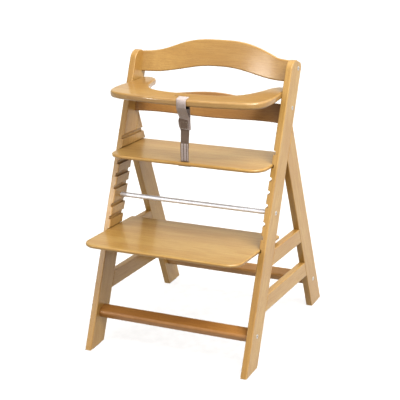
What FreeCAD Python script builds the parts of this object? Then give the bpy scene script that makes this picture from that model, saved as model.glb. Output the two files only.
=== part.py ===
"""Adjustable wooden high chair for a baby: two A-shaped side frames, two curved backrests, a guard bar
with a crotch strap, and a seat plate and a foot plate that slide in grooves cut across the front posts.

Millimetres. The chair faces -Y, +Z is up, and "right" pieces are on the +X side. The geometry is laid out
with y = 0 at the front edge of the front feet, and every shape is moved forward when it is written, so
that the origin is on the floor under the middle of the chair.
"""

import FreeCAD, Part
import math
import os

from FreeCAD import Vector

# ---- driving dimensions ----
FRAME_WIDTH = 485.0          # over the outer faces of the side frames
PLANK = 18.0                 # thickness of every frame plank
POST_LEAN = 25.57            # front posts lean back, degrees from vertical
POST_WIDTH = 68.0
POST_TOP = 762.0             # height of the rounded post ends
POST_TOP_FRONT_R = 32.0
POST_TOP_REAR_R = 12.0
LEG_LEAN = 18.71             # rear legs lean forward
LEG_WIDTH = 66.8
LEG_REAR_Y = 557.4           # rear edge of the rear legs at floor level
EDGE_R = 2.4                 # rounding of the plank edges
GLIDE = 3.0                  # thickness of the glides under the feet

PLATE_TILT = 4.5             # plates and grooves fall towards the rear, degrees
GROOVE_DEPTH = 7.0
GROOVE_HEIGHT = 10.2
GROOVE_ROOF_R = 4.0          # concave corner at the back of the groove's roof
GROOVE_LIP_R = 3.0           # rounding where the roof meets the post's inner face
GROOVE_PITCH = 32.0
TOP_GROOVE_Z = 536.8         # groove floors at the post's front edge
LOWER_GROOVE_Z = 364.6
UPPER_GROOVES = 5
LOWER_GROOVES = 3
SEAT_GROOVE = 1              # counted from the top groove, which is 0
FOOT_GROOVE = 2              # counted from the first lower groove
THROUGH_GROOVES = 2          # upper grooves that run on across the rear leg

PLATE = 9.5                  # thickness of the seat plate and the foot plate
PLATE_EDGE_R = 4.5
PLATE_GAP = 0.3              # under the plate, in its groove
PLATE_SIDE_GAP = 2.0         # on each side, inside the groove
SEAT_FRONT_Y, SEAT_REAR_Y, SEAT_CORNER_R = 165.0, 381.0, 45.0
FOOT_FRONT_Y, FOOT_REAR_Y, FOOT_CORNER_R = -4.0, 285.0, 42.0
REAR_CORNER_R = 10.0

RAIL_TILT = 3.8              # side rails fall towards the rear
UPPER_RAIL_Z, UPPER_RAIL_HEIGHT = 289.6, 43.0
LOWER_RAIL_Z, LOWER_RAIL_HEIGHT = 176.6, 44.6
RAIL_REF_Y = 192.8           # where the rails' top heights are measured

BACK_PANEL = 10.5            # thickness of the curved backrests
BACK_SAGITTA = 25.4          # how far their middle stands behind their ends
BACK_AHEAD = 2.0             # their ends stand this far in front of their screws, to keep these inside

BAR_THICK = 18.0             # guard bar
BAR_EDGE_R = 6.0
BAR_TILT = 3.5               # falls towards the rear, degrees
BAR_TOP_Z, BAR_REF_Y = 687.3, 327.8
BAR_SLOT_V = -139.0          # strap slot, measured as the bar's outline is: behind the post's front edge
BAR_SLOT_HALF = 23.0

LOOP_WIDTH, WEB_WIDTH, STRAP_THICK = 30.0, 23.0, 1.6
LOOP_X, WEB_X = 8.0, 4.0     # the strap hangs a little to one side of the middle
STRAP_SEAT_Y = 178.0         # strap slot in the seat plate
MERGE_YZ = (183.3, 632.0)    # where the two plies of the loop come together
LOOP_END_Z = 606.0

CROSSBAR_WIDTH, CROSSBAR_THICK, CROSSBAR_R, CROSSBAR_TILT = 38.0, 24.0, 8.0, 20.0
FRONT_CROSSBAR_YZ = (80.0, 91.5)
REAR_CROSSBAR_YZ = (497.3, 85.1)
ROD_YZ, ROD_R = (226.3, 385.5), 6.5
UPPER_SCREW_YZ = (403.7, 736.1)
LOWER_SCREW_YZ = (356.2, 639.1)
UPPER_LEAN, LOWER_LEAN = 18.0, 24.0

HEAD_R, HEAD_DEPTH, HEAD_PROUD = 6.0, 2.2, 0.6
BOLT_R, SCREW_R, DOWEL_R, SMALL_DOWEL_R, BACK_DOWEL_R = 3.0, 2.4, 4.0, 3.0, 2.4
SCREW_LENGTH, ROD_BOLT_LENGTH = 33.0, 40.0
BARREL_R, BARREL_LENGTH, BARREL_INSET = 5.0, 14.0, 34.0

# ---- values worked out from them ----
HALF = FRAME_WIDTH / 2
INNER = HALF - PLANK
POST_TAN = math.tan(math.radians(POST_LEAN))
LEG_TAN = math.tan(math.radians(LEG_LEAN))
POST_SIN, POST_COS = math.sin(math.radians(POST_LEAN)), math.cos(math.radians(POST_LEAN))
POST_DEPTH = POST_WIDTH / POST_COS
LEG_DEPTH = LEG_WIDTH / math.cos(math.radians(LEG_LEAN))
TILT_TAN = math.tan(math.radians(PLATE_TILT))
TILT_SIN, TILT_COS = math.sin(math.radians(PLATE_TILT)), math.cos(math.radians(PLATE_TILT))
BAR_SIN, BAR_COS = math.sin(math.radians(BAR_TILT)), math.cos(math.radians(BAR_TILT))
BOLT_LENGTH = PLANK - HEAD_DEPTH + BARREL_INSET + BARREL_R
BOW = 1 - math.sqrt(0.5)     # a quarter circle's middle is this many radii inside each side of its square


def post_front_y(z):
    return z * POST_TAN


def post_rear_y(z):
    return z * POST_TAN + POST_DEPTH


def leg_front_y(z):
    return LEG_REAR_Y - LEG_DEPTH - z * LEG_TAN


def leg_rear_y(z):
    return LEG_REAR_Y - z * LEG_TAN


# ---- drawing helpers ----
def side_face(edges_or_points, x):
    """A face in the plane x = const from (y, z) points or from ready edges."""
    if isinstance(edges_or_points[0], tuple):
        points = [Vector(x, y, z) for y, z in edges_or_points]
        wire = Part.makePolygon(points + [points[0]])
    else:
        wire = Part.Wire(edges_or_points)
    return Part.Face(wire)


def plank(outline, x=INNER, thickness=PLANK, plain_below=GLIDE + 1.0):
    """An outline pulled out along +X, with its long edges rounded except at the foot."""
    solid = side_face(outline, x).extrude(Vector(thickness, 0, 0))
    sharp = []
    for edge in solid.Edges:
        box = edge.BoundBox
        if box.XLength < 0.01 and box.ZMax > plain_below:
            sharp.append(edge)
    return solid.makeFillet(EDGE_R, sharp)


def arc(start, middle, end):
    return Part.Arc(Vector(*start), Vector(*middle), Vector(*end)).toShape()


def line(start, end):
    return Part.makeLine(Vector(*start), Vector(*end))


def bezier(*poles):
    """A curve in the plane z = 0 from its poles, each (x, y)."""
    curve = Part.BezierCurve()
    curve.setPoles([Vector(x, y, 0) for x, y in poles])
    return curve.toShape()


def rod(start, direction, length, radius):
    return Part.makeCylinder(radius, length, Vector(*start), Vector(*direction))


def mirrored(shape):
    return shape.mirror(Vector(0, 0, 0), Vector(1, 0, 0))


def both_sides(shapes):
    """The given right-hand pieces and their mirror images."""
    return list(shapes) + [mirrored(shape) for shape in shapes]


# ---- side frames ----
def post_outline(x):
    """The front post: a leaning plank with a round front corner and a small rear corner at its top."""
    corner_along = (POST_TOP - POST_TOP_FRONT_R + POST_TOP_FRONT_R * POST_SIN) / POST_COS
    length = corner_along + POST_TOP_FRONT_R

    def at(along, across):
        y = along * POST_SIN + across * POST_COS
        z = along * POST_COS - across * POST_SIN
        return (x, y, z)

    front, rear = POST_TOP_FRONT_R, POST_TOP_REAR_R
    front_foot = (x, post_front_y(GLIDE), GLIDE)
    rear_foot = (x, post_rear_y(GLIDE), GLIDE)
    front_mid = at(length - front * BOW, front * BOW)
    rear_mid = at(length - rear * BOW, POST_WIDTH - rear * BOW)
    return [
        line(front_foot, at(length - front, 0)),
        arc(at(length - front, 0), front_mid, at(length, front)),
        line(at(length, front), at(length, POST_WIDTH - rear)),
        arc(at(length, POST_WIDTH - rear), rear_mid, at(length - rear, POST_WIDTH)),
        line(at(length - rear, POST_WIDTH), rear_foot),
        line(rear_foot, front_foot),
    ]


def groove_tool(floor_z):
    """The space of one groove: flat floor, concave roof corner and a rounded lip at the inner face."""
    roof, lip = GROOVE_ROOF_R, GROOVE_LIP_R
    start_y = post_front_y(floor_z) - 60.0
    base_z = floor_z + 60.0 * TILT_TAN

    def at(depth, height):
        return (INNER + depth, start_y, base_z + height)

    deep, top = GROOVE_DEPTH, GROOVE_HEIGHT
    edges = [
        line(at(-2, 0), at(deep, 0)),
        line(at(deep, 0), at(deep, top - roof)),
        arc(at(deep, top - roof), at(deep - roof * BOW, top - roof * BOW), at(deep - roof, top)),
        arc(at(lip, top), at(lip * BOW, top + lip * BOW), at(0, top + lip)),
        line(at(0, top + lip), at(-2, top + lip)),
        line(at(-2, top + lip), at(-2, 0)),
    ]
    return Part.Face(Part.Wire(edges)).extrude(Vector(0, TILT_COS, -TILT_SIN) * 300.0)


def groove_floors():
    """Groove floor heights at the post's front edge, from the top down."""
    upper = [TOP_GROOVE_Z - GROOVE_PITCH * i for i in range(UPPER_GROOVES)]
    lower = [LOWER_GROOVE_Z - GROOVE_PITCH * i for i in range(LOWER_GROOVES)]
    return upper, lower


def leg_outline():
    """The rear leg, cut to lie against the rear edge of the post."""
    crotch_z = (leg_front_y(0) - POST_DEPTH) / (POST_TAN + LEG_TAN)
    junction_z = (leg_rear_y(0) - POST_DEPTH) / (POST_TAN + LEG_TAN)
    return [
        (leg_front_y(GLIDE), GLIDE),
        (leg_rear_y(GLIDE), GLIDE),
        (leg_rear_y(junction_z), junction_z),
        (leg_front_y(crotch_z), crotch_z),
    ]


def rail_outline(top_z, height):
    """A side rail between the post's rear edge and the leg's front edge."""
    fall = math.tan(math.radians(RAIL_TILT))

    def meet(at_ref, tan, offset):
        z = (at_ref + fall * (RAIL_REF_Y - offset)) / (1 + fall * tan)
        return (offset + z * tan, z)

    post, leg = (POST_TAN, POST_DEPTH), (-LEG_TAN, LEG_REAR_Y - LEG_DEPTH)
    return [
        meet(top_z - height, *post),
        meet(top_z - height, *leg),
        meet(top_z, *leg),
        meet(top_z, *post),
    ]


def seam_dowels():
    """Hidden dowels across the glued seam between post and rear leg."""
    across = (POST_COS, -POST_SIN)
    pieces = []
    for z in (528.0, 562.0):
        start = (INNER + PLANK / 2 + 2.5, post_rear_y(z) - 20 * across[0], z - 20 * across[1])
        pieces.append(rod(start, (0, *across), 40.0, SMALL_DOWEL_R))
    return pieces


def rail_dowels(outline):
    """Two hidden dowels in each end of a rail."""
    bottom_post, bottom_leg, top_leg, top_post = outline
    fall = math.radians(RAIL_TILT)
    along = (math.cos(fall), -math.sin(fall))
    pieces = []
    for low, high in ((bottom_post, top_post), (bottom_leg, top_leg)):
        for share in (0.27, 0.73):
            y = low[0] + (high[0] - low[0]) * share
            z = low[1] + (high[1] - low[1]) * share
            start = (INNER + PLANK / 2, y - 20 * along[0], z - 20 * along[1])
            pieces.append(rod(start, (0, *along), 40.0, SMALL_DOWEL_R))
    return pieces


# ---- fasteners that pass through the frames from outside ----
def outside_fastener(y, z, radius, length):
    """A flat round head with a hexagon socket, sunk in the outer face, and its shank."""
    head = rod((HALF + HEAD_PROUD, y, z), (-1, 0, 0), HEAD_DEPTH + HEAD_PROUD, HEAD_R)
    rim = [e for e in head.Edges if e.BoundBox.XMin > HALF + HEAD_PROUD - 0.01]
    head = head.makeFillet(0.5, rim)
    flats = [Vector(HALF + HEAD_PROUD, y + 2.3 * math.cos(a), z + 2.3 * math.sin(a))
             for a in (math.radians(60 * i) for i in range(6))]
    socket = Part.Face(Part.makePolygon(flats + [flats[0]])).extrude(Vector(-1.8, 0, 0))
    shank = rod((HALF - HEAD_DEPTH, y, z), (-1, 0, 0), length, radius)
    return head.cut(socket).fuse(shank).removeSplitter()


def fastener_hole(y, z, radius, length):
    """The space that a fastener takes, with its counterbore."""
    bore = rod((HALF + 1, y, z), (-1, 0, 0), HEAD_DEPTH + 1, HEAD_R)
    return bore.fuse(rod((HALF, y, z), (-1, 0, 0), HEAD_DEPTH + length, radius))


def barrel_nut(y, z):
    """A cross dowel nut across the thickness of a crossbar, around the bolt's end."""
    tilt = math.radians(CROSSBAR_TILT)
    up = (0, -math.sin(tilt), math.cos(tilt))
    x = INNER - BARREL_INSET
    start = (x, y - up[1] * CROSSBAR_THICK / 2, z - up[2] * CROSSBAR_THICK / 2)
    return rod(start, up, BARREL_LENGTH + 5.0, BARREL_R)


# ---- pieces that join the side frames ----
def tilted(shape, tilt, y, z):
    """A shape drawn flat around the origin, made to fall towards the rear and moved to (y, z)."""
    shape.rotate(Vector(0, 0, 0), Vector(1, 0, 0), -tilt)
    shape.translate(Vector(0, y, z))
    return shape


def plate(front_y, rear_y, corner_r, floor_z):
    """A plate lying in the grooves whose floor is floor_z at the post's front edge."""
    ref_y = post_front_y(floor_z)
    half = INNER + GROOVE_DEPTH - PLATE_SIDE_GAP
    front, rear, small = front_y - ref_y, rear_y - ref_y, REAR_CORNER_R
    side = [
        line((0, front, 0), (half - corner_r, front, 0)),
        arc((half - corner_r, front, 0), (half - corner_r * BOW, front + corner_r * BOW, 0),
            (half, front + corner_r, 0)),
        line((half, front + corner_r, 0), (half, rear - small, 0)),
        arc((half, rear - small, 0), (half - small * BOW, rear - small * BOW, 0),
            (half - small, rear, 0)),
        line((half - small, rear, 0), (0, rear, 0)),
    ]
    edges = side + [mirrored(edge) for edge in side]
    solid = Part.Face(Part.Wire(Part.__sortEdges__(edges))).extrude(Vector(0, 0, PLATE)).removeSplitter()
    rims = [e for e in solid.Edges if e.BoundBox.ZLength < 0.01]
    return tilted(solid.makeFillet(PLATE_EDGE_R, rims), PLATE_TILT, ref_y, floor_z + PLATE_GAP)


def strap_slot(x, half_width, opening, v):
    """A slot for the strap, drawn flat; v runs backwards from the post's front edge."""
    slot = Part.makeBox(2 * half_width, opening, 60, Vector(x - half_width, v - opening / 2, -30))
    corners = [e for e in slot.Edges if e.BoundBox.ZLength > 50]
    return slot.makeFillet(opening * 0.45, corners)


def backrest(screw_yz, lean, top_wave, low_wave):
    """A bent panel: an arc in plan, leaning back, with a wavy top edge and a curved bottom edge.

    A wave is the edge's height at its ends, its rise in the middle, its half width and its fullness.
    """
    screw_y, screw_z = screw_yz
    lean_tan = math.tan(math.radians(lean))
    base_z = low_wave[0] - 80.0
    base_y = screw_y - BACK_AHEAD + (base_z - screw_z) * lean_tan
    front, rear = base_y - BACK_PANEL / 2, base_y + BACK_PANEL / 2
    plan = [
        arc((-INNER, front, base_z), (0, front + BACK_SAGITTA, base_z), (INNER, front, base_z)),
        line((INNER, front, base_z), (INNER, rear, base_z)),
        arc((INNER, rear, base_z), (0, rear + BACK_SAGITTA, base_z), (-INNER, rear, base_z)),
        line((-INNER, rear, base_z), (-INNER, front, base_z)),
    ]
    rise = 260.0
    sheet = Part.Face(Part.Wire(plan)).extrude(Vector(0, rise * lean_tan, rise))

    def wave(x, ends, rise, reach, fullness):
        share = min(abs(x) / reach, 1.0)
        return ends + rise * 0.5 * (1 + math.cos(math.pi * share ** fullness))

    steps = 8
    xs = [INNER * (i / steps * 2 - 1) for i in range(steps + 1)]
    top = [Vector(x, 0, wave(x, *top_wave)) for x in xs]
    low = [Vector(x, 0, wave(x, *low_wave)) for x in reversed(xs)]
    level = Vector(1, 0, 0)
    top_curve, low_curve = Part.BSplineCurve(), Part.BSplineCurve()
    top_curve.interpolate(Points=top, InitialTangent=level, FinalTangent=level)
    low_curve.interpolate(Points=low, InitialTangent=-level, FinalTangent=-level)
    outline = Part.Wire([
        top_curve.toShape(),
        Part.makeLine(top[-1], low[0]),
        low_curve.toShape(),
        Part.makeLine(low[-1], top[0]),
    ])
    window = Part.Face(outline).extrude(Vector(0, 900, 0))
    panel = sheet.common(window)
    edges = []
    for edge in panel.Edges:
        middle = edge.valueAt((edge.FirstParameter + edge.LastParameter) / 2)
        if edge.BoundBox.XLength > INNER and abs(middle.x) < 20:
            edges.append(edge)
    return panel.makeFillet(3.0, edges)


def guard_bar():
    """The flat bar in front of the sitter, with arms that run back between the posts."""
    # (x, distance behind the post's front edge) of the right half
    nose, shoulder, wide, touch = (0.0, -179.0), (168.8, -161.6), (230.1, -75.0), (INNER, 8.0)
    arm_end, outer_r = 69.0, 14.0
    outer_corner, inner_corner, arm_inner = (INNER, arm_end - outer_r), (207.0, arm_end), (173.0, 40.0)
    drop = shoulder[1] - nose[1]
    sweep = math.asin(2 * shoulder[0] * drop / (shoulder[0] ** 2 + drop ** 2))
    ahead = (shoulder[0] + 50 * math.cos(sweep), shoulder[1] + 50 * math.sin(sweep))
    half = [
        bezier(shoulder, ahead, (wide[0], -130.0), wide),
        bezier(wide, (wide[0], -45.0), (touch[0], -22.0), touch),
        line((*touch, 0), (*outer_corner, 0)),
        arc((*outer_corner, 0), (INNER - outer_r * BOW, arm_end - outer_r * BOW, 0),
            (INNER - outer_r, arm_end, 0)),
        line((INNER - outer_r, arm_end, 0), (*inner_corner, 0)),
        bezier(inner_corner, (190.0, arm_end), (176.9, 59.6), arm_inner),
        bezier(arm_inner, (149.2, -80.0), (118.0, -98.4), (0.0, -98.4)),
    ]
    front = arc((-shoulder[0], shoulder[1], 0), (*nose, 0), (*shoulder, 0))
    edges = [front] + half + [mirrored(edge) for edge in half]
    solid = Part.Face(Part.Wire(Part.__sortEdges__(edges))).extrude(Vector(0, 0, -BAR_THICK))
    rims = [e for e in solid.Edges if e.BoundBox.ZLength < 0.01]
    solid = solid.makeFillet(BAR_EDGE_R, rims).cut(strap_slot(0.0, BAR_SLOT_HALF, 5.0, BAR_SLOT_V))
    return tilted(solid, BAR_TILT, BAR_REF_Y, BAR_TOP_Z)


def bar_point(v, depth):
    """(y, z) of a point of the guard bar, v behind the post's front edge and depth below its top."""
    return BAR_REF_Y + v * BAR_COS - depth * BAR_SIN, BAR_TOP_Z - v * BAR_SIN - depth * BAR_COS


def crossbar(y, z):
    """A round-edged bar between the side frames, tilted up towards the rear."""
    width, thick = CROSSBAR_WIDTH, CROSSBAR_THICK
    bar = Part.makeBox(2 * INNER, width, thick, Vector(-INNER, -width / 2, -thick / 2))
    long_edges = [e for e in bar.Edges if e.BoundBox.XLength > INNER]
    bar = bar.makeFillet(CROSSBAR_R, long_edges)
    bar.rotate(Vector(0, 0, 0), Vector(1, 0, 0), CROSSBAR_TILT)
    bar.translate(Vector(0, y, z))
    return bar


def crossbar_dowels(y, z):
    """A hidden locating dowel beside the bolt at each end of a crossbar."""
    tilt = math.radians(CROSSBAR_TILT)
    offset = 12.5
    start = (INNER + 11, y + offset * math.cos(tilt), z + offset * math.sin(tilt))
    return both_sides([rod(start, (-1, 0, 0), 36.0, SMALL_DOWEL_R)])


def glide(center_y):
    """A flat glide under one foot."""
    length, width = 46.0, 13.0
    x = INNER + PLANK / 2
    pad = Part.makeBox(width, length, GLIDE, Vector(x - width / 2, center_y - length / 2, 0))
    corners = [e for e in pad.Edges if e.BoundBox.ZLength > GLIDE / 2]
    return pad.makeFillet(5.0, corners)


def ribbon(path, thickness, width, middle_x):
    """A flat strap along a (y, z) path, thickened to the left of the way the path runs."""
    count = len(path)
    outer = []
    for i in range(count):
        before, after = path[max(i - 1, 0)], path[min(i + 1, count - 1)]
        run, climb = after[0] - before[0], after[1] - before[1]
        size = math.hypot(run, climb)
        outer.append((path[i][0] - climb / size * thickness, path[i][1] + run / size * thickness))
    return side_face(path + outer[::-1], middle_x - width / 2).extrude(Vector(width, 0, 0))


# ---- the chair, group by group: each returns {node: its solids} ----
def backrest_pins():
    """Hidden locating dowels beside the backrest screws, right-hand side."""
    pins = []
    for (y, z), lean, drop in ((UPPER_SCREW_YZ, UPPER_LEAN, 22.0), (LOWER_SCREW_YZ, LOWER_LEAN, 26.0)):
        start = (INNER + 10, y - drop * math.tan(math.radians(lean)), z - drop)
        pins.append(rod(start, (-1, 0, 0), 24.0, BACK_DOWEL_R))
    return pins


def bar_pins():
    """Hidden dowels from the posts into the arms of the guard bar, right-hand side."""
    middles = [bar_point(v, BAR_THICK / 2) for v in (18.0, 46.0)]
    return [rod((INNER + 12, *middle), (-1, 0, 0), 38.0, DOWEL_R) for middle in middles]


def side_frames():
    upper, lower = groove_floors()
    tools = [groove_tool(z) for z in upper + lower]
    through = [groove_tool(z) for z in upper[:THROUGH_GROOVES]]
    rails = {
        "upper_side_rail": rail_outline(UPPER_RAIL_Z, UPPER_RAIL_HEIGHT),
        "lower_side_rail": rail_outline(LOWER_RAIL_Z, LOWER_RAIL_HEIGHT),
    }
    seam = seam_dowels()
    rail_pins = [pin for outline in rails.values() for pin in rail_dowels(outline)]
    holes = backrest_pins() + bar_pins() + [fastener_hole(*ROD_YZ, BOLT_R, ROD_BOLT_LENGTH)]
    for y, z in (FRONT_CROSSBAR_YZ, REAR_CROSSBAR_YZ):
        holes += [fastener_hole(y, z, BOLT_R, BOLT_LENGTH), crossbar_dowels(y, z)[0]]
    for y, z in (UPPER_SCREW_YZ, LOWER_SCREW_YZ):
        holes.append(fastener_hole(y, z, SCREW_R, SCREW_LENGTH))

    pieces = {
        "front_post": plank(post_outline(INNER)).cut(tools + seam + rail_pins + holes),
        "rear_leg": plank(leg_outline()).cut(through + seam + rail_pins + holes),
    }
    for name, outline in rails.items():
        pieces[name] = plank(outline).cut(rail_pins)
    chair = {"seam_dowels": both_sides(seam), "rail_dowels": both_sides(rail_pins)}
    for name, piece in pieces.items():
        chair["right_" + name] = [piece]
        chair["left_" + name] = [mirrored(piece)]
    return chair


def backrests():
    pins = both_sides(backrest_pins())
    screw_yz = (UPPER_SCREW_YZ, LOWER_SCREW_YZ)
    screws = both_sides([outside_fastener(y, z, SCREW_R, SCREW_LENGTH) for y, z in screw_yz])
    spaces = both_sides([fastener_hole(y, z, SCREW_R, SCREW_LENGTH) for y, z in screw_yz])
    upper = backrest(UPPER_SCREW_YZ, UPPER_LEAN, (754.5, 35.5, 203.4, 1.6), (700.1, 20.4, 181.0, 1.2))
    lower = backrest(LOWER_SCREW_YZ, LOWER_LEAN, (645.5, 10.2, 166.0, 1.0), (598.6, -7.5, 217.0, 1.0))
    return {
        "upper_backrest": [upper.cut(spaces + pins)],
        "lower_backrest": [lower.cut(spaces + pins)],
        "backrest_screws": screws,
        "backrest_dowels": pins,
    }


def front_bar():
    pins = both_sides(bar_pins())
    return {"guard_bar": [guard_bar().cut(pins)], "guard_bar_dowels": pins}


def crossbars():
    chair = {"crossbar_bolts": [], "barrel_nuts": [], "crossbar_dowels": []}
    for name, (y, z) in (("front_crossbar", FRONT_CROSSBAR_YZ), ("rear_crossbar", REAR_CROSSBAR_YZ)):
        holes = both_sides([fastener_hole(y, z, BOLT_R, BOLT_LENGTH)])
        nuts = both_sides([barrel_nut(y, z)])
        dowels = crossbar_dowels(y, z)
        chair[name] = [crossbar(y, z).cut(holes + nuts + dowels)]
        chair["crossbar_bolts"] += both_sides([outside_fastener(y, z, BOLT_R, BOLT_LENGTH)])
        chair["barrel_nuts"] += [nut.cut(holes) for nut in nuts]
        chair["crossbar_dowels"] += dowels
    return chair


def tie_rod():
    tube = rod((-INNER, *ROD_YZ), (1, 0, 0), 2 * INNER, ROD_R)
    holes = both_sides([fastener_hole(*ROD_YZ, BOLT_R, ROD_BOLT_LENGTH)])
    bolts = both_sides([outside_fastener(*ROD_YZ, BOLT_R, ROD_BOLT_LENGTH)])
    return {"tie_rod": [tube.cut(holes)], "tie_rod_bolts": bolts}


def plates_and_strap():
    upper, lower = groove_floors()
    seat_z, foot_z = upper[SEAT_GROOVE], lower[FOOT_GROOVE]
    seat_ref_y = post_front_y(seat_z)
    slot = strap_slot(WEB_X, 15.0, 6.0, STRAP_SEAT_Y - seat_ref_y)
    slot = tilted(slot, PLATE_TILT, seat_ref_y, seat_z)
    seat = plate(SEAT_FRONT_Y, SEAT_REAR_Y, SEAT_CORNER_R, seat_z).cut(slot)

    # the loop's inner face, from the free end up in front of the bar, over it and down through its slot
    gap = 0.5
    nose_v, slot_v = -179.0 - gap, BAR_SLOT_V - STRAP_THICK / 2
    merge_y, merge_z = MERGE_YZ
    loop = [
        (merge_y - 1.3, LOOP_END_Z), (merge_y, merge_z),
        bar_point(nose_v, 13.0), bar_point(nose_v, 3.2), bar_point(nose_v + 3.2, -gap),
        bar_point(slot_v - 1.0, -gap), bar_point(slot_v, 1.0), bar_point(slot_v, BAR_THICK + 1.0),
        (merge_y + 0.3, merge_z), (merge_y - 1.0, LOOP_END_Z),
    ]
    floor = seat_z + PLATE_GAP - (STRAP_SEAT_Y - seat_ref_y) * TILT_TAN
    web = [(STRAP_SEAT_Y + STRAP_THICK, floor - 0.3), (STRAP_SEAT_Y + STRAP_THICK, floor + PLATE + 2.0),
           (merge_y - 1.2 + STRAP_THICK, LOOP_END_Z - 1.5)]
    stop = Part.makeBox(36, 9, 2, Vector(WEB_X - 18, STRAP_SEAT_Y - 3.0, floor - 2.9))
    return {
        "seat_plate": [seat],
        "foot_plate": [plate(FOOT_FRONT_Y, FOOT_REAR_Y, FOOT_CORNER_R, foot_z)],
        "strap_loop": [ribbon(loop, STRAP_THICK, LOOP_WIDTH, LOOP_X)],
        "crotch_strap": [ribbon(web, 2 * STRAP_THICK, WEB_WIDTH, WEB_X)],
        "strap_stop": [stop.makeFillet(0.8, stop.Edges)],
    }


def glides():
    ys = [(post_front_y(GLIDE) + post_rear_y(GLIDE)) / 2, (leg_front_y(GLIDE) + leg_rear_y(GLIDE)) / 2]
    return {"foot_glides": both_sides([glide(y) for y in ys])}


def middle_y():
    """Halfway between the foot plate's rounded front edge and the rear feet."""
    foot_z = groove_floors()[1][FOOT_GROOVE]
    nose = FOOT_FRONT_Y - post_front_y(foot_z) + PLATE_EDGE_R
    front = post_front_y(foot_z) + nose * TILT_COS + PLATE_EDGE_R * TILT_SIN - PLATE_EDGE_R
    return (front + leg_rear_y(GLIDE)) / 2


def main():
    os.makedirs("parts", exist_ok=True)
    mid_y = middle_y()
    groups = (side_frames(), backrests(), front_bar(), crossbars(), tie_rod(), plates_and_strap(),
              glides())
    for group in groups:
        for node, pieces in group.items():
            solids = [solid for piece in pieces for solid in piece.Solids]
            for solid in solids:
                solid.translate(Vector(0, -mid_y, 0))
            shape = solids[0] if len(solids) == 1 else Part.makeCompound(solids)
            assert shape.isValid(), node
            shape.exportStep(os.path.join("parts", node + ".step"))
            print(f"{node}: {len(solids)} solid(s), {shape.Volume / 1000:.1f} cm3")


main()
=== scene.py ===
"""Looks of the wooden baby high chair: lacquered beech, metal rod and screws, and the woven crotch strap.

Metres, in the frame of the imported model: the chair faces -Y, +Z is up, and the floor is at z = 0. Only the
straps are laid out in millimetres, and scaled when their meshes are made.
"""

import math
import random
from types import SimpleNamespace

import bpy
from mathutils import Matrix, Vector


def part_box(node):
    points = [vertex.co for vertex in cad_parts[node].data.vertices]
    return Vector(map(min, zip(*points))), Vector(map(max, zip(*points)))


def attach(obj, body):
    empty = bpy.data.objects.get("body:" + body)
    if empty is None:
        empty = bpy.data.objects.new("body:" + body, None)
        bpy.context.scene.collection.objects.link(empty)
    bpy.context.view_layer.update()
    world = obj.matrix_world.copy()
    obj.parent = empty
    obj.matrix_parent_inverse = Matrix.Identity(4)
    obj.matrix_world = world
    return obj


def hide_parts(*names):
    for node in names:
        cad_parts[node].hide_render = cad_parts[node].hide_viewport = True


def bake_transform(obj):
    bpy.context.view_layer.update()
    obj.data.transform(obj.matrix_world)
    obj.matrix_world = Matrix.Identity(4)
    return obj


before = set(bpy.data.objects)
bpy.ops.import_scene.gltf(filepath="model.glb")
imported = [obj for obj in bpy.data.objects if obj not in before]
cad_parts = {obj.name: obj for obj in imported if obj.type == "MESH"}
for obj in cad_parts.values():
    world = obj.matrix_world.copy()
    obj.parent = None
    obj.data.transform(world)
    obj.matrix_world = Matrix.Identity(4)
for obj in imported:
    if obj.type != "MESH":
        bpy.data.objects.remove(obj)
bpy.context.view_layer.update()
MM = 0.001

# ---- camera ----
CAMERA_AT = Vector((1.4166, -2.8829, 1.5445))
CAMERA_AZIMUTH, CAMERA_ELEVATION, CAMERA_ROLL = (math.radians(a) for a in (26.24, 19.98, -2.51))
CAMERA_LENS, CAMERA_SENSOR = 111.25, 36.0
CAMERA_FAR = 60.0


def add_camera():
    across, rise = math.sin(CAMERA_AZIMUTH), math.sin(CAMERA_ELEVATION)
    level = math.cos(CAMERA_ELEVATION)
    back = Vector((across * level, -math.cos(CAMERA_AZIMUTH) * level, rise))
    right = (-back).cross(Vector((0, 0, 1))).normalized()
    up = right.cross(-back)
    turn = Matrix((right, up, back)).transposed().to_4x4() @ Matrix.Rotation(CAMERA_ROLL, 4, "Z")
    camera = bpy.data.objects.new("camera", bpy.data.cameras.new("camera"))
    camera.data.lens = CAMERA_LENS
    camera.data.sensor_width = CAMERA_SENSOR
    camera.data.clip_end = CAMERA_FAR
    camera.matrix_world = Matrix.Translation(CAMERA_AT) @ turn
    bpy.context.scene.collection.objects.link(camera)
    bpy.context.scene.camera = camera


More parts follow.
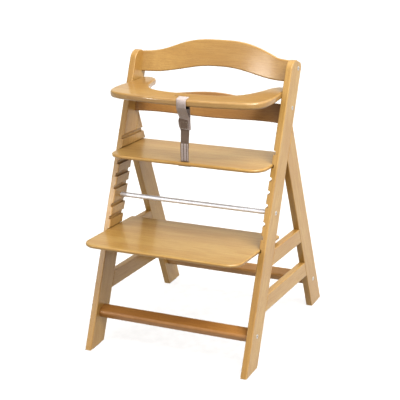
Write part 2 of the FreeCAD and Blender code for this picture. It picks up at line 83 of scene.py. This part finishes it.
# ---- node building ----
class Nodes:
    """Shader nodes, added to a tree one by one. An input is a number, a colour or another node's output."""

    def __init__(self, tree):
        self.tree = tree

    def put(self, socket, value):
        if isinstance(value, bpy.types.NodeSocket):
            self.tree.links.new(value, socket)
        else:
            socket.default_value = value

    def node(self, kind, inputs=None, output=0, **settings):
        made = self.tree.nodes.new("ShaderNode" + kind)
        for key, value in settings.items():
            setattr(made, key, value)
        for key, value in (inputs or {}).items():
            self.put(made.inputs[key], value)
        return made.outputs[output]

    def math(self, operation, *values, **settings):
        return self.node("Math", dict(enumerate(values)), operation=operation, **settings)

    def vector(self, operation, *values):
        output = "Value" if operation in ("LENGTH", "DOT_PRODUCT") else "Vector"
        return self.node("VectorMath", dict(enumerate(values)), output, operation=operation)

    def noise(self, place, scale, detail=2.0, roughness=0.5, output="Factor"):
        inputs = {"Vector": place, "Scale": scale, "Detail": detail, "Roughness": roughness}
        made = self.node("TexNoise", inputs)
        return made if output == "Factor" else made.node.outputs[output]

    def stretched(self, place, stretch, detail=2.0, roughness=0.5, output="Factor"):
        """Noise with its own scale along each axis."""
        return self.noise(self.vector("MULTIPLY", place, stretch), 1.0, detail, roughness, output)

    def wobble(self, place, stretch, reach):
        """A random shift, at most half of reach each way."""
        noise = self.stretched(place, stretch, output="Color")
        return self.vector("MULTIPLY", self.vector("SUBTRACT", noise, (0.5, 0.5, 0.5)), reach)

    def span(self, value, low, high, start=0.0, end=1.0):
        """A smooth step from start to end while value goes from low to high."""
        inputs = {"Value": value, 1: low, 2: high, 3: start, 4: end}
        return self.node("MapRange", inputs, interpolation_type="SMOOTHSTEP")

    def mix(self, factor, first, second, blend="MIX"):
        inputs = {0: factor, 6: first, 7: second}
        return self.node("Mix", inputs, 2, data_type="RGBA", blend_type=blend)

    def bump(self, height, strength, distance):
        return self.node("Bump", {"Height": height, "Strength": strength, "Distance": distance})


class Graph(Nodes):
    """A material's nodes. Values that are the same all over it go straight to the shader's own sockets."""

    def __init__(self, name, **surface):
        self.material = bpy.data.materials.new(name)
        self.material.use_nodes = True
        super().__init__(self.material.node_tree)
        self.shader = self.tree.nodes["Principled BSDF"]
        self.surface(**surface)

    def surface(self, **sockets):
        for key, value in sockets.items():
            self.put(self.shader.inputs[key.replace("_", " ")], value)
        return self.material


def rgb(red, green, blue):
    """A linear colour from 0-255 sRGB values."""
    parts = []
    for part in (red, green, blue):
        part /= 255
        parts.append(part / 12.92 if part <= 0.04045 else ((part + 0.055) / 1.055) ** 2.4)
    return (*parts, 1.0)


# ---- wood ----
WOOD_PALE, WOOD_DEEP = rgb(168, 138, 81), rgb(155, 121, 63)
WOOD_RING, WOOD_STREAK, WOOD_FLECK = rgb(145, 104, 50), rgb(126, 88, 46), rgb(94, 60, 30)
WOOD_STRIP, WOOD_END, WOOD_WORN = rgb(138, 100, 54), rgb(120, 82, 42), rgb(178, 150, 104)


def glued_strips(graph, place, width, seed):
    """Moves each strip glued into a board to its own part of the texture, and gives each a random tone."""
    across = graph.node("SeparateXYZ", {"Vector": place}, 1)
    strip = graph.math("FLOOR", graph.math("DIVIDE", across, width))
    tone = graph.node("TexWhiteNoise", {"W": graph.math("ADD", strip, seed)}, noise_dimensions="1D")
    apart = graph.vector("SUBTRACT", tone.node.outputs["Color"], (0.5, 0.5, 0.5))
    jump = graph.vector("MULTIPLY", apart, (8.0, 0.04, 0.08))
    recentre = graph.node("CombineXYZ", {1: graph.math("MULTIPLY", strip, -width)})
    return graph.vector("ADD", graph.vector("ADD", place, jump), recentre), tone


def growth_rings(graph, place, along, pith):
    """Rings around a pith line that wanders slowly beside the board."""
    wander = graph.wobble(along, (1.7, 3.0, 3.0), (0.0, 0.07, 0.05))
    ripple = graph.wobble(along, (9.0, 45.0, 45.0), (0.0, 0.005, 0.005))
    centred = graph.vector("ADD", graph.vector("ADD", place, wander), ripple)
    radius = graph.vector("LENGTH", graph.vector("MULTIPLY", graph.vector("ADD", centred, pith), (0, 1, 1)))
    inputs = {"W": radius, "Scale": 260.0, "Detail": 3.0, "Roughness": 0.6}
    return graph.span(graph.node("TexNoise", inputs, noise_dimensions="1D"), 0.34, 0.70)


def ray_flecks(graph, along):
    """Beech's short dark dashes, in some of the texture's cells."""
    cells = graph.vector("MULTIPLY", along, (260.0, 1150.0, 1150.0))
    near = graph.node("TexVoronoi", {"Vector": cells, "Scale": 1.0, "Randomness": 0.9})
    chance = graph.node("SeparateColor", {"Color": near.node.outputs["Color"]})
    return graph.math("MULTIPLY", graph.span(near, 0.42, 0.20), graph.span(chance, 0.45, 0.75))


def beech(node, rng, turn, heart=0.09, shade_tint=1.0, shade_warmth=1.0, gloss=0.5, strips=0.0, flat=0.985, ends=0.5):
    """Lacquered beech for one node. turn, in degrees, brings its grain to X and its faces square to the axes.

    heart is how far the tree's middle lies from the board, and strips the width of the pieces glued into it.
    A face is worn where its largest normal part is below flat, and ends is how dark the end grain gets.
    tint and warmth paint light and shade into the board: tint scales all of the colour, warmth its blue and
    most of its green; below 1 as if the board were shaded, above 1 as if it were lit.
    """
    coat = dict(Coat_Weight=gloss, Coat_Roughness=0.14, Coat_IOR=1.5)
    graph = Graph(node + "_wood", Specular_IOR_Level=0.5, **coat)
    low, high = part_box(node)
    centre = (Vector(low) + Vector(high)) / 2
    turn = tuple(math.radians(angle) for angle in turn)
    place = graph.vector("SUBTRACT", graph.node("TexCoord", output="Object"), centre)
    place = graph.node("VectorRotate", {"Vector": place, "Rotation": turn}, rotation_type="EULER_XYZ")
    normal = graph.node("NewGeometry", output="True Normal")
    normal = graph.node("VectorRotate", {"Vector": normal, "Rotation": turn}, rotation_type="EULER_XYZ")
    shift = tuple(rng.uniform(-3, 3) for _ in range(3))
    aside = rng.uniform(-0.03, 0.03)
    strip_tone = None
    if strips:
        place, strip_tone = glued_strips(graph, place, strips, shift[0])
    along = graph.vector("ADD", place, shift)

    pith = (0.0, heart, aside) if turn[2] else (0.0, aside, heart)
    rings = growth_rings(graph, place, along, pith)
    tone = graph.stretched(along, (3.0, 16.0, 16.0), 3.0, 0.55)
    streak = graph.stretched(along, (14.0, 420.0, 420.0), 4.0, 0.6)
    fibre = graph.stretched(along, (120.0, 2600.0, 2600.0), 3.0, 0.6)
    fleck = ray_flecks(graph, along)
    colour = graph.mix(graph.span(tone, 0.30, 0.72), WOOD_PALE, WOOD_DEEP)
    colour = graph.mix(graph.math("MULTIPLY", rings, 0.26), colour, WOOD_RING)
    colour = graph.mix(graph.math("MULTIPLY", graph.span(streak, 0.35, 0.75), 0.30), colour, WOOD_STREAK)
    colour = graph.mix(graph.math("MULTIPLY", fleck, 0.42), colour, WOOD_FLECK)
    if strip_tone is not None:
        colour = graph.mix(graph.span(strip_tone, 0.0, 1.0, 0.0, 0.22), colour, WOOD_STRIP)

    # end grain is darker, and the rounded edges are a little rubbed
    facing = graph.node("SeparateXYZ", {"Vector": graph.vector("ABSOLUTE", normal)})
    colour = graph.mix(graph.span(facing, 0.80, 0.97, 0.0, ends), colour, WOOD_END)
    flats = facing.node.outputs
    widest = graph.math("MAXIMUM", graph.math("MAXIMUM", flats[0], flats[1]), flats[2])
    rub = graph.stretched(along, (30.0, 90.0, 90.0), 3.0)
    worn = graph.math("MULTIPLY", graph.span(widest, flat, flat - 0.08), graph.span(rub, 0.42, 0.62))
    colour = graph.mix(graph.math("MULTIPLY", worn, 0.30), colour, WOOD_WORN)
    # painted light and shade: this scale darkens and warms a board that should look shaded, and lightens one
    # that should look lit
    scale = (shade_tint, shade_tint * (0.25 + 0.75 * shade_warmth), shade_tint * shade_warmth, 1.0)
    colour = graph.mix(1.0, colour, scale, "MULTIPLY")

    rough = graph.span(streak, 0.2, 0.8, 0.34, 0.46)
    rough = graph.math("ADD", rough, graph.math("MULTIPLY", worn, 0.12))
    height = graph.math("ADD", graph.math("MULTIPLY", fibre, 0.5), graph.math("MULTIPLY", streak, 0.6))
    height = graph.math("SUBTRACT", height, graph.math("MULTIPLY", fleck, 0.5))
    return graph.surface(Base_Color=colour, Roughness=rough, Normal=graph.bump(height, 0.22, 0.00022))


# ---- metal, plastic and webbing ----
def metal(name, base, roughness, along_x=True, bare=1.0):
    """Drawn or turned metal: fine lines around or along it, small scratches and dulled spots."""
    graph = Graph(name, Metallic=bare, Specular_IOR_Level=0.5)
    place = graph.node("TexCoord", output="Object")
    lines = graph.stretched(place, (9.0, 2400.0, 2400.0) if along_x else (2400.0, 300.0, 300.0), 3.0, 0.6)
    blotch = graph.noise(place, 90.0, 3.0)
    colour = graph.mix(graph.span(blotch, 0.35, 0.7, 0.0, 0.3), base, rgb(190, 190, 192))
    rough = graph.math("ADD", graph.span(lines, 0.2, 0.8, roughness, roughness + 0.14),
                       graph.span(blotch, 0.4, 0.75, 0.0, 0.08))
    return graph.surface(Base_Color=colour, Roughness=rough, Normal=graph.bump(lines, 0.05, 0.00005))


def plastic(name, base):
    """Dark moulded plastic with a fine texture, scuffed and dusty in places."""
    graph = Graph(name, Specular_IOR_Level=0.4)
    place = graph.node("TexCoord", output="Object")
    grain = graph.noise(place, 1500.0)
    scuff = graph.stretched(place, (60.0, 200.0, 200.0), 4.0, 0.65)
    colour = graph.mix(graph.span(scuff, 0.55, 0.75, 0.0, 0.5), base, rgb(88, 84, 80))
    rough = graph.span(scuff, 0.4, 0.7, 0.48, 0.68)
    return graph.surface(Base_Color=colour, Roughness=rough, Normal=graph.bump(grain, 0.3, 0.00015))


RIB_PITCH, PICK_PITCH = 1.6 * MM, 1.1 * MM


def webbing(name, warp_colour, weft_colour, soil):
    """Woven webbing by UV, in metres: u along the strap and v across it. Ribs run along, picks across."""
    graph = Graph(name, Sheen_Weight=0.35, Sheen_Roughness=0.45, Specular_IOR_Level=0.25)
    parts = graph.node("SeparateXYZ", {"Vector": graph.node("TexCoord", output="UV")})
    u, v = parts, parts.node.outputs[1]

    def wave(coordinate, pitch):
        angle = graph.math("MULTIPLY", coordinate, 2 * math.pi / pitch)
        return graph.math("MULTIPLY_ADD", graph.math("SINE", angle), 0.5, 0.5)

    rib = wave(v, RIB_PITCH)
    row = graph.math("FLOOR", graph.math("DIVIDE", v, RIB_PITCH))
    odd = graph.math("MODULO", row, 2.0)
    pick = wave(graph.math("MULTIPLY_ADD", odd, PICK_PITCH / 2, u), PICK_PITCH)
    weave = graph.math("MULTIPLY", rib, pick)
    place = graph.node("TexCoord", output="Object")
    fuzz = graph.noise(place, 1900.0, 3.0, 0.6)
    patch = graph.noise(place, 55.0, 3.0)
    colour = graph.mix(weave, weft_colour, warp_colour)
    colour = graph.mix(graph.span(fuzz, 0.35, 0.7, 0.0, 0.35), colour, weft_colour)
    colour = graph.mix(graph.span(patch, 0.45, 0.75, 0.0, 0.35), colour, soil)
    height = graph.math("ADD", weave, graph.math("MULTIPLY", fuzz, 0.5))
    return graph.surface(Base_Color=colour, Roughness=graph.span(fuzz, 0.3, 0.7, 0.72, 0.9),
                         Normal=graph.bump(height, 0.7, 0.0005))


def near_black_fabric(name):
    """A near-black fabric with a fine dotted bump."""
    graph = Graph(name, Sheen_Weight=0.1, Specular_IOR_Level=0.3)
    place = graph.node("TexCoord", output="Object")
    dots = graph.node("TexVoronoi", {"Vector": place, "Scale": 900.0})
    patch = graph.noise(place, 300.0, 3.0)
    colour = graph.mix(graph.span(patch, 0.4, 0.7), rgb(34, 29, 24), rgb(58, 50, 42))
    return graph.surface(Base_Color=colour, Roughness=graph.span(dots, 0.1, 0.6, 0.55, 0.85),
                         Normal=graph.bump(dots, 0.9, 0.0004))


def thread(name):
    graph = Graph(name, Sheen_Weight=0.3, Specular_IOR_Level=0.4)
    twist = graph.noise(graph.node("TexCoord", output="Object"), 2600.0)
    colour = graph.mix(graph.span(twist, 0.3, 0.7), rgb(196, 186, 178), rgb(226, 218, 210))
    return graph.surface(Base_Color=colour, Roughness=graph.span(twist, 0.3, 0.7, 0.5, 0.7),
                         Normal=graph.bump(twist, 0.5, 0.0002))


# ---- the CAD nodes ----
def give(node, material):
    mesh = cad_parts[node].data
    mesh.materials.clear()
    mesh.materials.append(material)


def finish_cad_nodes():
    rng = random.Random(11)
    boards = {}
    for side in ("left", "right"):
        boards[side + "_front_post"] = dict(turn=(-64.43, 0, -90), heart=0.16)
        boards[side + "_rear_leg"] = dict(turn=(71.29, 0, -90), heart=0.14)
        boards[side + "_upper_side_rail"] = dict(turn=(3.8, 0, -90), heart=0.12)
        boards[side + "_lower_side_rail"] = dict(turn=(3.8, 0, -90), heart=0.10)
    # The tints and warmths set here are painted light and shade: the guard bar, the front crossbar and the
    # lower backrest are darkened as if shaded, the crossbars and the lower backrest made warmer like shaded
    # wood, and the rear crossbar lightened as if lit.
    boards["front_crossbar"] = dict(turn=(-20, 0, 0), heart=0.06, shade_tint=0.94, shade_warmth=0.76)
    boards["rear_crossbar"] = dict(turn=(-20, 0, 0), heart=0.06, shade_tint=1.05, shade_warmth=0.86)
    boards["guard_bar"] = dict(turn=(3.5, 0, 0), gloss=0.8, strips=0.055, ends=0.15, shade_tint=0.9)
    boards["upper_backrest"] = dict(turn=(18, 0, 0), heart=0.22, flat=0.96)
    boards["lower_backrest"] = dict(turn=(24, 0, 0), heart=0.20, flat=0.96, shade_tint=0.82, shade_warmth=0.84)
    # painted light on the plates: the seat plate is lightened as if lit, the foot plate darkened a little,
    # and both made paler like lit wood
    for node, shade_tint in (("seat_plate", 1.08), ("foot_plate", 0.98)):
        boards[node] = dict(turn=(4.5, 0, 0), heart=0.12, strips=0.048, shade_tint=shade_tint, shade_warmth=1.05)
    for node in ("seam_dowels", "rail_dowels", "backrest_dowels", "guard_bar_dowels", "crossbar_dowels"):
        boards[node] = dict(turn=(0, 0, 0), heart=0.05, gloss=0.0)
    for node, look in boards.items():
        give(node, beech(node, rng, **look))
    give("tie_rod", metal("rod_drawn_metal", rgb(230, 234, 243), 0.4, bare=0.7))
    steel = metal("screw_turned_steel", rgb(196, 194, 190), 0.26, along_x=False)
    for node in ("tie_rod_bolts", "crossbar_bolts", "backrest_screws", "barrel_nuts"):
        give(node, steel)
    dark = plastic("glide_plastic", rgb(38, 36, 34))
    for node in ("foot_glides", "strap_stop"):
        give(node, dark)


# ---- mesh building ----
def new_object(name, vertices, faces, material, uvs=None):
    mesh = bpy.data.meshes.new(name)
    mesh.from_pydata(vertices, [], faces)
    if uvs:
        layer = mesh.uv_layers.new(name="UVMap")
        for loop in mesh.loops:
            layer.data[loop.index].uv = uvs[loop.vertex_index]
    mesh.materials.append(material)
    for polygon in mesh.polygons:
        polygon.use_smooth = True
    made = bpy.data.objects.new(name, mesh)
    bpy.context.scene.collection.objects.link(made)
    return made


def tube_faces(first, rings, size):
    """The sides and end caps of a closed tube whose rings of size vertices start at vertex first."""
    faces = []
    last = first + (rings - 1) * size
    for start in range(first, last, size):
        for k in range(size):
            n = (k + 1) % size
            faces.append((start + k, start + n, start + size + n, start + size + k))
    faces.append(tuple(first + k for k in reversed(range(size))))
    faces.append(tuple(last + k for k in range(size)))
    return faces


def spline(points, step):
    """Points about step apart on a smooth curve through the given ones. Each is (Vector, width, yaw)."""
    def value(p0, p1, p2, p3, t):
        a = 2 * p1
        b = p2 - p0
        c = 2 * p0 - 5 * p1 + 4 * p2 - p3
        d = 3 * p1 - p0 - 3 * p2 + p3
        return (a + b * t + c * t * t + d * t * t * t) * 0.5

    made = []
    last = len(points) - 1
    for i in range(last):
        around = [points[min(max(i + k, 0), last)] for k in (-1, 0, 1, 2)]
        count = max(2, round((points[i + 1][0] - points[i][0]).length / step))
        for j in range(count):
            t = j / count
            made.append(tuple(value(*(item[part] for item in around), t) for part in range(3)))
    made.append(points[-1])
    return made


STRAP_STEP = 1.6 * MM
BACK_FACE_V = 0.1            # the back of a strap lies this far aside in UV


def strap(name, stations, width, thickness, material, crown=0.0, round_edge=0.5):
    """A flat strap in millimetres through (x, y, z, share of the width, yaw) stations.

    yaw turns the strap's width about Z from +X, in degrees, and crown is how far its middle stands out.
    """
    points = [(Vector((x, y, z)) * MM, share * width * MM, yaw) for x, y, z, share, yaw in stations]
    points = spline(points, STRAP_STEP)
    half_section = [(k / 4, 1 - abs(k / 4) ** 6 * (1 - round_edge)) for k in range(-4, 5)]
    ring = half_section + [(across, -height) for across, height in reversed(half_section)]
    vertices, uvs = [], []
    length = 0.0
    for i, (place, across_all, yaw) in enumerate(points):
        before, after = points[max(i - 1, 0)][0], points[min(i + 1, len(points) - 1)][0]
        run = (after - before).normalized()
        side = Vector((math.cos(math.radians(yaw)), math.sin(math.radians(yaw)), 0.0))
        side = (side - run * side.dot(run)).normalized()
        face = side.cross(run).normalized()
        if i:
            length += (place - points[i - 1][0]).length
        for across, height in ring:
            out = (height * thickness / 2 + crown * (1 - across * across)) * MM
            vertices.append(place + side * across * across_all / 2 + face * out)
            uvs.append((length, across * across_all / 2 + (BACK_FACE_V if height < 0 else 0.0)))
    faces = tube_faces(0, len(points), len(ring))
    return new_object(name, vertices, faces, material, uvs)


STITCH_LENGTH, STITCH_GAP, STITCH_R = 2.6 * MM, 1.2 * MM, 0.38 * MM
STITCH_SHAPE = ((-0.5, 0.15), (-0.38, 0.8), (0.0, 1.0), (0.38, 0.8), (0.5, 0.15))
STITCH_SIDES = 6


def stitches(name, seams, material):
    """Thread stitches along seams; a seam is (start, end, face) with face the way its surface looks."""
    vertices, faces = [], []
    for start, end, face in seams:
        run = (end - start).normalized()
        side = run.cross(face).normalized()
        count = max(1, int(((end - start).length + STITCH_GAP) / (STITCH_LENGTH + STITCH_GAP)))
        pitch = (end - start).length / count
        for i in range(count):
            faces += tube_faces(len(vertices), len(STITCH_SHAPE), STITCH_SIDES)
            middle = start + run * pitch * (i + 0.5)
            for along, swell in STITCH_SHAPE:
                for k in range(STITCH_SIDES):
                    angle = k * 2 * math.pi / STITCH_SIDES
                    offset = side * math.cos(angle) + face * math.sin(angle) * 0.8
                    vertices.append(middle + run * along * (pitch - STITCH_GAP) + offset * STITCH_R * swell)
    return new_object(name, vertices, faces, material)


# ---- the crotch strap ----
WEBBING_THICK = 1.5          # millimetres


def strap_anchors():
    """The places, in millimetres, that the straps are laid out from, taken from the nodes that they meet."""
    loop_low, loop_high = (Vector(corner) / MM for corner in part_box("strap_loop"))
    web_low, web_high = (Vector(corner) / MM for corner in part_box("crotch_strap"))
    bar_low, bar_high = (Vector(corner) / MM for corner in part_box("guard_bar"))
    return SimpleNamespace(
        nose=bar_low.y,
        top=bar_high.z,
        slot=loop_high.y - 0.8,
        merge_y=bar_low.y + 34.6,
        merge_z=loop_low.z + 26.0,
        low_y=web_low.y + 1.6,
        floor=web_low.z + 0.3,
        wide=loop_high.x - loop_low.x,
        narrow=web_high.x - web_low.x,
        web_x=(web_high.x + web_low.x) / 2,
    )


def add_loop(at, pale):
    """The loop: up the bar's nose, over its front strip, down through its slot and forward again."""
    front, over = at.nose - 1.2, at.top + 0.4
    stations = [
        (9.5, at.merge_y - 1.3, at.merge_z - 24.0, 0.97, 0.0),
        (9.5, at.merge_y - 1.6, at.merge_z - 4.0, 0.97, 0.0),
        (9.4, at.merge_y - 7.0, at.merge_z + 12.0, 1.0, -2.0),
        (14.2, front + 5.5, at.merge_z + 38.0, 0.95, -3.0),
        (16.4, front + 0.2, at.top - 15.0, 0.93, -3.0),
        (16.4, front + 0.2, at.top - 6.5, 0.93, -3.0),
        (16.0, front + 3.2, over - 1.2, 0.93, -2.0),
        (14.6, front + 9.0, over, 0.94, 0.0),
        (10.2, at.slot - 13.0, over - 1.1, 0.96, 2.0),
        (7.4, at.slot - 3.0, over - 2.5, 0.98, 2.0),
        (6.0, at.slot - 0.1, over - 7.5, 1.0, 2.0),
        (5.6, at.slot - 0.6, at.top - 20.0, 1.0, 2.0),
        (6.0, at.slot - 1.2, at.top - 27.0, 1.0, 2.0),
        (8.0, at.merge_y + 3.0, at.merge_z + 20.0, 0.98, 1.0),
        (9.0, at.merge_y + 0.3, at.merge_z + 2.0, 0.97, 0.0),
        (9.0, at.merge_y + 0.3, at.merge_z - 24.0, 0.97, 0.0),
    ]
    loop = strap("strap_loop_webbing", stations, at.wide, WEBBING_THICK, pale)
    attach(loop, "frame")
    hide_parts("strap_loop")


def add_closure(at, dark):
    """The patch that closes the loop, and a near-black strip on the inner face of its rear ply, just below
    the bar.
    """
    stations = [
        (5.0, at.merge_y - 3.4, at.merge_z + 5.0, 0.84, 0.0),
        (4.2, at.merge_y - 3.7, at.merge_z - 1.0, 0.92, 0.0),
        (4.6, at.merge_y - 3.6, at.merge_z - 11.0, 0.9, 0.0),
        (6.6, at.merge_y - 3.3, at.merge_z - 22.0, 0.82, 0.0),
    ]
    patch = strap("strap_closing_patch", stations, at.wide, 1.8, dark, round_edge=0.35)
    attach(patch, "frame")

    stations = [
        (5.6, at.slot - 1.8, at.top - 19.6, 1.0, 2.0),
        (5.9, at.slot - 4.2, at.top - 27.0, 0.98, 2.0),
        (6.5, at.slot - 6.4, at.top - 34.0, 0.94, 2.0),
    ]
    tape = strap("strap_near_black_strip", stations, at.wide, 1.3, near_black_fabric("strap_hook_tape"))
    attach(tape, "frame")


def add_lower_strap(at, pale, dark):
    """The single strap below the loop, and the folded webbing sewn to it, down through the seat."""
    stations = [
        (7.0, at.merge_y - 0.6, at.merge_z - 18.0, 1.08, 0.0),
        (6.9, at.merge_y - 0.6, at.merge_z - 30.0, 1.08, 0.0),
        (6.1, at.merge_y - 2.6, at.merge_z - 52.0, 1.04, 0.0),
        (at.web_x + 1.5, at.low_y + 1.4, at.merge_z - 76.0, 1.0, 0.0),
    ]
    single = strap("strap_single_webbing", stations, at.narrow, WEBBING_THICK, dark)
    stations = [
        (at.web_x + 1.6, at.low_y + 0.4, at.merge_z - 62.0, 1.02, 0.0),
        (at.web_x + 1.4, at.low_y - 0.4, at.merge_z - 68.0, 1.04, 0.0),
        (at.web_x + 0.9, at.low_y - 0.6, at.merge_z - 92.0, 1.02, 0.0),
        (at.web_x, at.low_y, at.floor + 12.0, 1.0, 0.0),
        (at.web_x, at.low_y, at.floor + 1.0, 1.0, 0.0),
    ]
    lower = strap("strap_folded_webbing", stations, at.narrow, 2.9, dark, crown=0.4, round_edge=0.3)
    # The contrast between the pale fold ridges and the brown webbing between them is painted light and shade
    # on the folds.
    folds = []
    for k, (across, share) in enumerate(((-0.53, 0.27), (0.22, 0.26), (0.82, 0.16))):
        ridge = [(x + across * at.narrow / 2, y - 1.8, z, share, yaw) for x, y, z, _, yaw in stations[:-1]]
        folds.append(strap(f"strap_fold_{k}", ridge, at.narrow, 1.5, pale, crown=0.8))
    for piece in (single, lower, *folds):
        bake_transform(piece)
    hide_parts("crotch_strap")


def add_patch_stitches(at):
    """A rectangle of stitches that holds the closing patch."""
    left, right, y = -5.0, 16.5, at.merge_y - 4.4
    high, low = at.merge_z - 3.0, at.merge_z - 21.0
    facing = Vector((0, -1, 0))
    ends = [((left, high), (right, high)), ((left, low), (right, low)),
            ((left, high), (left, low)), ((right, high), (right, low))]
    seams = [(Vector((x0, y, z0)) * MM, Vector((x1, y, z1)) * MM, facing) for (x0, z0), (x1, z1) in ends]
    sewn = stitches("strap_patch_stitches", seams, thread("strap_thread"))
    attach(sewn, "frame")


def add_straps():
    at = strap_anchors()
    pale = webbing("strap_webbing", rgb(208, 200, 200), rgb(154, 141, 136), rgb(158, 140, 124))
    dark = webbing("strap_webbing_brown", rgb(150, 134, 122), rgb(104, 88, 76), rgb(110, 92, 78))
    add_loop(at, pale)
    add_closure(at, dark)
    add_lower_strap(at, pale, dark)
    add_patch_stitches(at)


# ---- floor and light ----
CHAIR_MIDDLE = Vector((0, 0, 0.42))
FLOOR_REACH = 600.0
BRIGHT_SIDE = (0.52, -0.24, 0.82)      # the world is brightest towards here
COVE_SIDE = (-0.3, 0.9, 0.0)           # and glows a little here, behind the chair
WHITE, WARM = (1.0, 1.0, 1.0, 1.0), (1.0, 0.84, 0.64, 1.0)


def add_light(name, kind, azimuth, elevation, energy, distance=3.0, **settings):
    """A light that looks at the chair's middle; azimuth is from the front towards +X, in degrees."""
    around, up = math.radians(azimuth), math.radians(elevation)
    away = Vector((math.sin(around) * math.cos(up), -math.cos(around) * math.cos(up), math.sin(up)))
    light = bpy.data.objects.new(name, bpy.data.lights.new(name, kind))
    light.data.energy = energy
    for key, value in settings.items():
        setattr(light.data, key, value)
    light.location = CHAIR_MIDDLE + away * distance
    light.rotation_euler = away.to_track_quat("Z", "Y").to_euler()
    bpy.context.scene.collection.objects.link(light)
    return light


def add_floor():
    """Matt grey paper. It sends no diffuse light back, which keeps the chair's shaded side dark."""
    graph = Graph("floor_paper", Specular_IOR_Level=0.1)
    fibre = graph.noise(graph.node("TexCoord", output="Object"), 40.0, 3.0)
    colour = graph.mix(graph.span(fibre, 0.3, 0.7), rgb(126, 126, 126), rgb(123, 123, 123))
    graph.surface(Base_Color=colour, Roughness=0.95)
    corners = [(x * FLOOR_REACH, y * FLOOR_REACH, 0) for x, y in ((-1, -1), (1, -1), (1, 1), (-1, 1))]
    floor = new_object("floor", corners, [(0, 1, 2, 3)], graph.material)
    floor.visible_diffuse = False
    return floor


def add_world():
    """Soft light from all round, brightest and whitest from the upper right."""
    world = bpy.data.worlds.new("studio")
    bpy.context.scene.world = world
    world.use_nodes = True
    sky = Nodes(world.node_tree)
    look = sky.node("TexCoord", output="Generated")
    half = sky.math("MULTIPLY_ADD", sky.vector("DOT_PRODUCT", look, BRIGHT_SIDE), 0.5, 0.5)
    lobe = sky.math("MULTIPLY_ADD", sky.math("POWER", half, 2.5), 1.95, 0.28)
    cove = sky.math("MULTIPLY", sky.vector("DOT_PRODUCT", look, COVE_SIDE), 0.65, use_clamp=True)
    background = world.node_tree.nodes["Background"].inputs
    sky.put(background["Color"], sky.mix(half, WARM, WHITE))
    sky.put(background["Strength"], sky.math("ADD", lobe, cove))


def add_studio():
    floor = add_floor()
    add_world()
    add_light("key", "AREA", 67.0, 54.0, 122.0, distance=3.2, shape="RECTANGLE", size=2.0, size_y=2.0)
    add_light("strip", "AREA", -38.0, 16.0, 20.0, shape="RECTANGLE", size=0.28, size_y=0.9)

    # a lamp for the floor alone, which turns the grey paper white
    below = bpy.data.collections.new("lit_from_above")
    below.objects.link(floor)
    lamp = add_light("floor_light", "SUN", 0.0, 90.0, 12.5, use_shadow=False)
    lamp.light_linking.receiver_collection = below
    bpy.context.scene.view_settings.view_transform = "Standard"
    bpy.context.scene.view_settings.gamma = 0.8


add_camera()
finish_cad_nodes()
add_straps()
add_studio()
